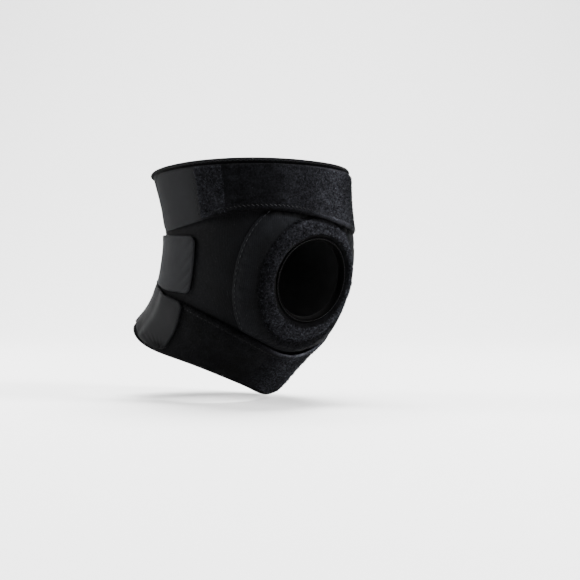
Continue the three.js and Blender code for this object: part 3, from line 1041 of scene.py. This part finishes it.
def facing(component, power=1):
    """How far the places round the kneecap face one way, from a sine or cosine of their turns."""
    return np.clip(component, 0, 1) ** power


class KNEE_OT_pad(bpy.types.Operator):
    """Adds the padded panel round the kneecap, with its seam."""

    bl_idname = "knee_support.pad"
    bl_label = "Kneecap pad"

    def execute(self, context):
        turns = np.linspace(0, 2 * math.pi, PAD_TURNS, endpoint=False)
        inner = ring_outline(turns, 2 * LAYER_GAP)
        angle, free = ring_outline(turns, LAYER_GAP + PAD_WIDTH)
        height = np.clip(free, lower_high(angle) + LAYER_GAP, upper_low(angle) - LAYER_GAP)
        places = ring_places(inner, (angle, height), turns, PAD_STEP, PAD_RIM)
        spot = spots(places)
        roll = PAD_EDGE + (PAD_CROWN - PAD_EDGE) * np.sin(math.pi * places.across**1.35)
        puckers = 0.3 * lumps(spot, 4, 5) * np.exp(-places.edge / 4) + 0.3 * lumps(spot, 15, 6)
        stitched = 0.5 * bell(places.edge, PAD_GROOVE, 0.9) * (places.across > 0.5)
        rim = mix(0.9, 2.4, places.across)
        relief = (puckers - stitched) * rounded(places.edge, 3)
        outer = WRAP_FACE + roll * rounded(places.edge, rim) + relief
        turn = places.along / np.ptp(places.along) * 2 * math.pi
        # Painted light and shade: the pad is darker near the ring and lighter out on its rolled border, lit
        # is painted light on its top and right side, and under_strap paints the strap's shadow.
        lit = 2.4 * facing(np.sin(turn), 3) + 0.9 * facing(-np.cos(turn), 2)
        shade = mix(0.5, 1.2, smooth_step(0.1, 0.7, places.across)) + lit
        shade = shade * under_strap(places.angle, places.height)
        held = places.edge < mix(1.0, 3.2, places.across)
        base = WRAP_FACE + 0 * roll
        pad = add_layer("kneecap_pad", places, base, outer, "neoprene_jersey", shade, held)
        line = mix(inner[0], angle, 0.9), mix(inner[1], height, 0.9)
        sewn = [
            thread_row(*stretch, WRAP_FACE + PAD_EDGE + THREAD_LIFT, PAD_STITCH)
            for stretch in free_stretches(*line, free == height)
        ]
        add_seam("kneecap_pad", joined(*sewn))
        return {"FINISHED"}


class KNEE_OT_ring(bpy.types.Operator):
    """Adds the woolly ring and the stitched lip round the kneecap opening."""

    bl_idname = "knee_support.ring"
    bl_label = "Kneecap ring"

    def execute(self, context):
        turns = np.linspace(0, 2 * math.pi, RING_TURNS, endpoint=False)
        inner = kneecap_place(turns, RING_INNER, RING_INNER)
        places = ring_places(inner, ring_outline(turns, LAYER_GAP), turns, RING_STEP, RING_RIM)
        wool = wool_relief(spots(places))
        rim = mix(RING_SOFT_RIM, RING_SHARP_RIM, places.across)
        top = WRAP_FACE + crown(places.across) * rounded(places.edge, rim) + wool * rounded(places.edge, 2)
        # Painted light and shade: the ring is darker in its groove next to the lip, lit is painted light on
        # its top, and under_strap paints the strap's shadow.
        above = facing(np.sin(places.along / np.ptp(places.along) * 2 * math.pi), 2)
        lit = 3 * above * smooth_step(0.4, 0.7, places.across)
        shade = mix(0.2, 0.9, smooth_step(0.05, 0.35, places.across)) + lit
        shade = shade * under_strap(places.angle, places.height)
        ring = add_layer("kneecap_ring", places, WRAP_FACE + 0 * top, top, "brushed_pile", shade)
        add_wool()
        add_lip(turns)
        return {"FINISHED"}


def add_wool():
    """Adds the ring's loops of pile. They reach a little way onto the pad and thin out there."""
    sizes = bpy.context.scene.knee_support_sizes
    chance = np.random.default_rng(3)
    turn = chance.uniform(0, 2 * math.pi, sizes.loops)
    above = facing(np.sin(turn), 2)
    below = facing(-np.sin(turn + 0.4), 2)
    reach = mix(WOOL_REACH, WOOL_REACH_ABOVE, above) + WOOL_REACH_BELOW * below
    across = WOOL_START + reach * chance.uniform(0, 1, sizes.loops) ** 1.15
    in_groove = chance.uniform(0, 1, sizes.loops) < GROOVE_SHARE
    across = np.where(in_groove, chance.uniform(*GROOVE_REACH, sizes.loops), across)
    half_width = mix(RING_INNER, RING_HALF_WIDTH + LAYER_GAP, across)
    half_height = mix(RING_INNER, RING_HALF_HEIGHT + LAYER_GAP, across)
    angle, height = kneecap_place(turn, half_width, half_height)
    height = np.clip(height, lower_high(angle) + 1, upper_low(angle) - 1)
    width = np.hypot(RING_SIDE_WIDTH * np.cos(turn), RING_END_WIDTH * np.sin(turn))
    inside = across < 1
    rim = rounded(np.abs(1 - across) * width, RING_SHARP_RIM)
    rim = rim * np.where(inside, rounded(across * width, RING_SOFT_RIM), 1)
    wool = wool_relief(layer(angle, height, 0 * angle))
    on_pad = PAD_EDGE + 0.3 + 1.6 * smooth_step(1.1, 1.45, across)
    rise = np.where(inside, crown(np.minimum(across, 1)) + wool, on_pad) * rim
    # Painted light and shade: loops are lighter at the bottom, top and right side as painted light, darker
    # out on the pad, and under_strap paints the strap's shadow on them.
    lit = 0.9 + 0.7 * facing(-np.sin(turn)) + 0.8 * above + 0.7 * facing(-np.cos(turn))
    fade_and_shadow = mix(1, 0.35, smooth_step(0.9, 1.3, across)) * under_strap(angle, height)
    out = WRAP_FACE + rise - PILE_SINK
    add_curls("kneecap_ring_pile", angle, height, out, sizes.loop / MM, RING_LOOP_WIDTH, 4, lit * fade_and_shadow)


def add_lip(turns):
    """Adds the stitched lip of the opening."""
    outline = np.linspace(0, 2 * math.pi, 16, endpoint=False)
    middle = OPENING_RADIUS + LIP_WIDTH / 2
    tall = (WRAP_WALL + LIP_RISE) / 2
    reach = LIP_WIDTH / 2 * np.sign(np.cos(outline)) * np.abs(np.cos(outline)) ** 0.6
    out = tall + tall * np.sign(np.sin(outline)) * np.abs(np.sin(outline)) ** 0.5
    turn = np.repeat(turns[:, None], len(outline), axis=1)
    angle, height = kneecap_place(turn, middle + reach, middle + reach)
    points, faces = tubes(layer(angle, height, out)[None], closed=True)
    weave = turn.ravel() * middle, np.tile(reach, len(turns))
    # Painted shade: the tape's inner wall is nearly black as shade inside the opening, and the rest is
    # darkened to 0.4.
    shade = np.tile(np.where(reach < 0.2, 0.06, 0.4), len(turns))
    add_piece("opening_binding_tape", points, faces, "ribbed_tape", ("opening_binding",), weave, shade)
    place = kneecap_place(np.linspace(0, 2 * math.pi, PAD_TURNS), middle, middle)
    add_seam("opening_binding", thread_row(*place, WRAP_WALL + LIP_RISE, LIP_STITCH))


STRAP_RIM = 1.5
TAB_RIM = 1.2
JOINT_GAP = 0.08 / PER_DEGREE
JOINT_ROW = 2.4
END_ROW = 3
SECOND_ROW = 14
SEAM_INSET = 3
HEM_INSET = 3.4
STITCH_PITCH = 1.35
ROW_POINTS = 60
HEM_POINTS = 300
FUZZ_LENGTH = 1.2
FUZZ_WIDTH = 0.2
FUZZY_END = 49.5, 50.5

# Patches of loops on a strap's outer face, thickest about one angle and painted lighter there by glow, partly
# as a lighter patch of pile and partly as painted light.
Fuzz = namedtuple("Fuzz", "name start end middle spread count seed glow")
UPPER_FUZZ = (
    Fuzz("upper_strap_fuzz", -75, 20, -16, 24, 6000, 5, 1.3),
    Fuzz("upper_strap_end_fuzz", 50, UPPER_JOINT, 58, 30, 2200, 15, 0.4),
)
LOWER_FUZZ = (Fuzz("lower_strap_fuzz", -60, 10, -8, 15, 3500, 6, 1.5),)


def strap_relief(spot, seed):
    """Unevenness of a strap."""
    return 0.3 * lumps(spot, 17, seed) + 0.16 * lumps(spot, 6, seed + 1)


def hem_relief(side, roll, spread, groove):
    """A rolled hem and the groove of its seam, at distances in from a strap's edge."""
    return 0.45 * bell(side, roll, spread) - 0.3 * bell(side, groove, 1.0)


def sewn_across(angles, low, high, top):
    """Rows of stitches across a strap at some angles, as one mesh."""
    sizes = bpy.context.scene.knee_support_sizes
    length = sizes.stitch / MM
    stitch = Stitch(length * STITCH_PITCH, length, sizes.thread / MM)
    share = np.linspace(0, 1, ROW_POINTS)
    rows = []
    for angle in angles:
        angle = angle + 0 * share
        height = mix(low(angle) + SEAM_INSET, high(angle) - SEAM_INSET, share)
        rows.append(thread_row(angle, height, top, stitch))
    return joined(*rows)


def strap_fuzz(patches, low, high, lift):
    """Adds patches of loops on a strap that lies at the distances of lift from the skin."""
    pieces = []
    for patch in patches:
        chance = np.random.default_rng(patch.seed)
        angle = chance.uniform(patch.start, patch.end, 4 * patch.count)
        kept = chance.uniform(0, 1, len(angle)) < around(angle, patch.middle, patch.spread)
        angle = angle[kept][: patch.count]
        share = chance.uniform(0.04, 0.96, len(angle))
        out = lift(angle, share) + STRAP_WALL - PILE_SINK
        # Loops are painted lighter about the patch's middle: partly lighter pile, partly painted light.
        shade = 0.8 + patch.glow * around(angle, patch.middle, patch.spread * 0.6)
        height = mix(low(angle), high(angle), share)
        pieces.append(add_curls(patch.name, angle, height, out, FUZZ_LENGTH, FUZZ_WIDTH, patch.seed, shade))
    return pieces


def add_strap(name, places, base, relief, shade=1.0):
    inner, outer = laid(places, base, STRAP_WALL, STRAP_RIM, relief)
    return add_layer(name, places, inner, outer, "brushed_pile", shade)


def add_tab(name, places, low, high, joint_row, relief, shade, base=WRAP_FACE):
    """Adds the smooth closing end of a strap, with the row of stitches at its joint."""
    inner, outer = laid(places, base, TAB_WALL, TAB_RIM, relief)
    tab = add_layer(name, places, inner, outer, "hook_tab_face", shade)
    seam = add_seam(name, sewn_across([joint_row], low, high, TAB_FACE))
    declare_sheet(places)


class KNEE_OT_upper_strap(bpy.types.Operator):
    """Adds the upper strap and its closing tab."""

    bl_idname = "knee_support.upper_strap"
    bl_label = "Upper strap"

    def execute(self, context):
        low, high = sagging_low, upper_high
        places = strap_places(UPPER_STRAP_ROOT, UPPER_JOINT - JOINT_GAP, low, high, "end")
        spot = spots(places)
        low_side = places.across * (high(places.angle) - low(places.angle))

        def lift(angle, share):
            return WRAP_FACE + 2.6 * around(angle, 2, 50) * (1 - share) ** 3

        relief = strap_relief(spot, 11) + hem_relief(low_side, 2.2, 1.5, 4.6)
        # Painted light and shade: the strap is darker between its front and its fuzzy end, partly as a
        # smoother pile and partly as painted shade, and lit is a painted highlight on its front.
        smooth = smooth_step(8, 30, places.angle) * (1 - smooth_step(*FUZZY_END, places.angle))
        lit = 4.5 * around(places.angle, -15, 12) * bell(places.across, 0.45, 0.5)
        meeting = 1.2 * smooth_step(UPPER_JOINT - 5, UPPER_JOINT, places.angle)
        shade = (1 - 0.62 * smooth + lit) * (1 + 0.5 * lumps(spot, 3.4, 14)) + meeting
        # Painted shadow: the strap darkens towards its raised lower edge, over the gap beneath it.
        shade = shade * mix(0.25, 1, smooth_step(0.3, 2.4, low_side))
        strap = add_strap("upper_strap", places, lift(places.angle, places.across), relief, shade)
        angles = np.linspace(UPPER_STRAP_ROOT + END_ROW, UPPER_JOINT - 2, HEM_POINTS)
        top = lift(angles, 0.08) + STRAP_WALL + THREAD_LIFT
        hem = thread_row(angles, low(angles) + HEM_INSET, top, UPPER_HEM_STITCH)
        rows = [UPPER_STRAP_ROOT + END_ROW, UPPER_STRAP_ROOT + SECOND_ROW]
        ends = sewn_across(rows, low, high, STRAP_FACE)
        hem_angle = np.linspace(angles[0], angles[-1], len(hem[0]))
        # The hem's stitches are painted lighter about the front, as painted light.
        shade = np.concatenate((0.2 + 0.7 * around(hem_angle, 18, 22), np.full(len(ends[0]), 0.6)))
        seam = add_seam("upper_strap", joined(hem, ends), shade)
        fuzz = strap_fuzz(UPPER_FUZZ, low, high, lift)
        declare_sheet(places)

        start = UPPER_JOINT + JOINT_GAP
        places = strap_places(start, UPPER_TAB_END, low, high, "start", TAB_STEP, slant=8, corner=9)
        relief = 0.22 * lumps(spots(places), 19, 13)
        shade = mix(0.65, 0.92, smooth_step(UPPER_JOINT, UPPER_JOINT + 9, places.angle))
        add_tab("upper_tab", places, low, high, UPPER_JOINT + JOINT_ROW, relief, shade)
        return {"FINISHED"}


class KNEE_OT_middle_strap(bpy.types.Operator):
    """Adds the strap behind the knee and its closing tab."""

    bl_idname = "knee_support.middle_strap"
    bl_label = "Middle strap"

    def execute(self, context):
        low, high = middle_low, middle_high
        places = strap_places(MIDDLE_STRAP_ROOT, MIDDLE_JOINT + JOINT_GAP, low, high, "end")
        strap = add_strap("middle_strap", places, WRAP_FACE, strap_relief(spots(places), 21))
        rows = [MIDDLE_STRAP_ROOT - 2, MIDDLE_STRAP_ROOT - SECOND_ROW, MIDDLE_JOINT + JOINT_ROW]
        seam = add_seam("middle_strap", sewn_across(rows, low, high, STRAP_FACE))
        declare_sheet(places)

        start = MIDDLE_JOINT - JOINT_GAP
        places = strap_places(start, MIDDLE_TAB_END, low, high, "start", TAB_STEP, corner=5)
        spot = spots(places)
        near_end = np.exp(-np.maximum(places.angle - MIDDLE_TAB_END - 3.5, 0) / 5)
        creases = 0.5 * np.sin((places.angle * PER_DEGREE + places.height) / 1.6) * near_end
        relief = 0.25 * lumps(spot, 18, 23) + creases * 0.5 * (1 + lumps(spot, 9, 24))
        # Painted shade in the troughs of the creases.
        shade = 1.15 + 0.65 * np.minimum(creases, 0) + 0.06 * lumps(spot, 5, 25)
        add_tab("middle_tab", places, low, high, MIDDLE_JOINT - JOINT_ROW, relief, shade)
        return {"FINISHED"}


class KNEE_OT_lower_strap(bpy.types.Operator):
    """Adds the lower strap and its closing tab."""

    bl_idname = "knee_support.lower_strap"
    bl_label = "Lower strap"

    def execute(self, context):
        low, high = lower_low, lower_high
        end = LOWER_JOINT - 360
        places = strap_places(LOWER_STRAP_ROOT, end + JOINT_GAP, low, high, "end")
        spot = spots(places)
        high_side = (1 - places.across) * (high(places.angle) - low(places.angle))

        def lift(angle, share):
            return WRAP_FACE + 2 * around(angle, -9, 24) * share**3

        relief = strap_relief(spot, 31) + hem_relief(high_side, 1.8, 1.3, 4.2)
        # A painted highlight along the strap's upper edge at the front, and a painted shadow just below it.
        painted_edge_highlight = np.exp(-high_side / 0.8) * around(places.angle, -12, 17)
        shadow = 0.6 * bell(high_side, 4, 2) * around(places.angle, -12, 22)
        # Painted light and shade: the strap is darker past its front, partly as a smoother pile and partly as
        # painted shade, and lit is a painted highlight on its front.
        lit = 4 * around(places.angle, -24, 12) * bell(places.across, 0.4, 0.3)
        shade = 1 - 0.8 * smooth_step(-4, 18, places.angle) + lit
        shade = shade * (1 + 0.5 * lumps(spot, 3.4, 34)) * (1 - shadow) + 7 * painted_edge_highlight
        strap = add_strap("lower_strap", places, lift(places.angle, places.across), relief, shade)
        angles = np.linspace(LOWER_STRAP_ROOT - END_ROW, end + END_ROW, HEM_POINTS)
        top = lift(angles, 0.92) + STRAP_WALL + THREAD_LIFT
        hem = thread_row(angles, high(angles) - HEM_INSET, top, LOWER_HEM_STITCH)
        ends = sewn_across([LOWER_STRAP_ROOT - END_ROW, end + JOINT_ROW], low, high, STRAP_FACE)
        seam = add_seam("lower_strap", joined(hem, ends))
        fuzz = strap_fuzz(LOWER_FUZZ, low, high, lift)
        declare_sheet(places)

        low, high = lower_tab_low, lower_tab_high
        start = LOWER_JOINT - JOINT_GAP
        places = strap_places(start, LOWER_TAB_END, low, high, "start", TAB_STEP, slant=5, corner=5.5)
        spot = spots(places)
        top = LOWER_STRAP_ROOT + LAYER_GAP / PER_DEGREE
        climb = (STRAP_WALL + LAYER_GAP) * (1 - smooth_step(top, top + 16 / PER_DEGREE, places.angle))
        from_end = (places.angle - LOWER_TAB_END) * PER_DEGREE
        low_side = places.across * (high(places.angle) - low(places.angle))
        fan = np.sin(np.arctan2(low_side + 3, from_end + 6) * 34)
        puckers = 0.8 * fan * bell(low_side, 3, 7) * np.exp(-np.maximum(from_end - 4, 0) / 12)
        relief = 0.25 * lumps(spot, 18, 33) + puckers
        # Painted shade in the troughs of the puckers.
        shade = 0.57 + 0.9 * np.minimum(puckers, 0) + 0.06 * lumps(spot, 5, 35)
        joint_row = LOWER_JOINT - JOINT_ROW
        base = WRAP_FACE + climb
        add_tab("lower_tab", places, low, high, joint_row, relief, shade, base)
        return {"FINISHED"}


# Stage

VIEW_ANGLE = 37
VIEW_DISTANCE = 1.027
VIEW_RIGHT = 0.027
VIEW_DROP = 0.0105
CAMERA_LENS = 85
CAMERA_SENSOR = 36
FLOOR_GAP = 0.002
FLOOR_FRONT = 4.0
FLOOR_BACK = 1.2
FLOOR_HALF_WIDTH = 5
BACKDROP_BEND = 1.4
BACKDROP_HEIGHT = 5.0
WORLD_STRENGTH = 0.15

# Lights, placed in metres to the right, toward the camera and up, with a size in metres and a power in watts.
Light = namedtuple("Light", "name right back up size power")
LIGHTS = (
    Light("left_light", -1.5, -0.15, 0.6, 0.8, 44),
    Light("right_light", 1.3, 0.75, 0.95, 0.6, 74),
    Light("top_light", 0, -0.9, 2.4, 2.2, 300),
)


class KNEE_OT_stage(bpy.types.Operator):
    """Adds the floor with its backdrop, the lights and the camera."""

    bl_idname = "knee_support.stage"
    bl_label = "Stage"

    def execute(self, context):
        turn = math.radians(VIEW_ANGLE)
        right = Vector((math.cos(turn), -math.sin(turn), 0))
        back = Vector((-math.sin(turn), -math.cos(turn), 0))
        up = Vector((0, 0, 1))
        floor_height = min(corner[2] for corner in SOLID_BOX) - FLOOR_GAP
        bend = np.linspace(0, math.pi / 2, 24)
        reach = FLOOR_BACK + BACKDROP_BEND
        depth = np.concatenate(([-FLOOR_FRONT], FLOOR_BACK + BACKDROP_BEND * np.sin(bend), [reach]))
        rise = np.concatenate(([0.0], BACKDROP_BEND - BACKDROP_BEND * np.cos(bend), [BACKDROP_HEIGHT]))
        side = list(zip(depth, rise))
        across = np.linspace(-FLOOR_HALF_WIDTH, FLOOR_HALF_WIDTH, 3)
        points = [tuple(right * x - back * y + up * (floor_height + z)) for x in across for y, z in side]
        mesh = bpy.data.meshes.new("floor")
        mesh.from_pydata(points, [], grid_quads(len(across), len(depth)).tolist())
        mesh.polygons.foreach_set("use_smooth", np.ones(len(mesh.polygons), dtype=bool))
        mesh.materials.append(pale_floor(tuple(context.scene.knee_support_colours.floor)))
        floor = linked("floor", mesh)

        for light in LIGHTS:
            data = bpy.data.lights.new(light.name, "AREA")
            data.shape = "DISK"
            data.size = light.size
            data.energy = light.power
            place = right * light.right + back * light.back + up * light.up
            lamp = linked(light.name, data)
            lamp.location = place
            lamp.rotation_euler = (-place).to_track_quat("-Z", "Y").to_euler()

        world = bpy.data.worlds.new("studio")
        world.use_nodes = True
        sky = world.node_tree.nodes["Background"]
        sky.inputs["Color"].default_value = (1, 1, 1, 1)
        sky.inputs["Strength"].default_value = WORLD_STRENGTH
        context.scene.world = world

        data = bpy.data.cameras.new("camera")
        data.lens = CAMERA_LENS
        data.sensor_width = CAMERA_SENSOR
        camera = linked("camera", data)
        camera.location = right * VIEW_RIGHT - up * VIEW_DROP + back * VIEW_DISTANCE
        camera.rotation_euler = (-back).to_track_quat("-Z", "Y").to_euler()
        context.scene.camera = camera
        return {"FINISHED"}


OPERATORS = (
    KNEE_OT_wrap,
    KNEE_OT_pad,
    KNEE_OT_ring,
    KNEE_OT_upper_strap,
    KNEE_OT_middle_strap,
    KNEE_OT_lower_strap,
    KNEE_OT_stage,
)


class KNEE_PT_panel(bpy.types.Panel):
    """Lists the steps that build the knee support."""

    bl_idname = "KNEE_PT_panel"
    bl_label = "Knee support"
    bl_space_type = "VIEW_3D"
    bl_region_type = "UI"
    bl_category = "Knee support"

    def draw(self, context):
        for group in (context.scene.knee_support_sizes, context.scene.knee_support_colours):
            for name in group.__annotations__:
                self.layout.prop(group, name)
        for operator in OPERATORS:
            self.layout.operator(operator.bl_idname)


CLASSES = (KneeSupportColours, KneeSupportSizes, *OPERATORS, KNEE_PT_panel)


def register():
    for cls in CLASSES:
        bpy.utils.register_class(cls)
    bpy.types.Scene.knee_support_colours = bpy.props.PointerProperty(type=KneeSupportColours)
    bpy.types.Scene.knee_support_sizes = bpy.props.PointerProperty(type=KneeSupportSizes)


def unregister():
    del bpy.types.Scene.knee_support_sizes
    del bpy.types.Scene.knee_support_colours
    for cls in reversed(CLASSES):
        bpy.utils.unregister_class(cls)


def main():
    register()
    for operator in OPERATORS:
        group, name = operator.bl_idname.split(".")
        getattr(getattr(bpy.ops, group), name)()


if __name__ == "__main__":
    main()
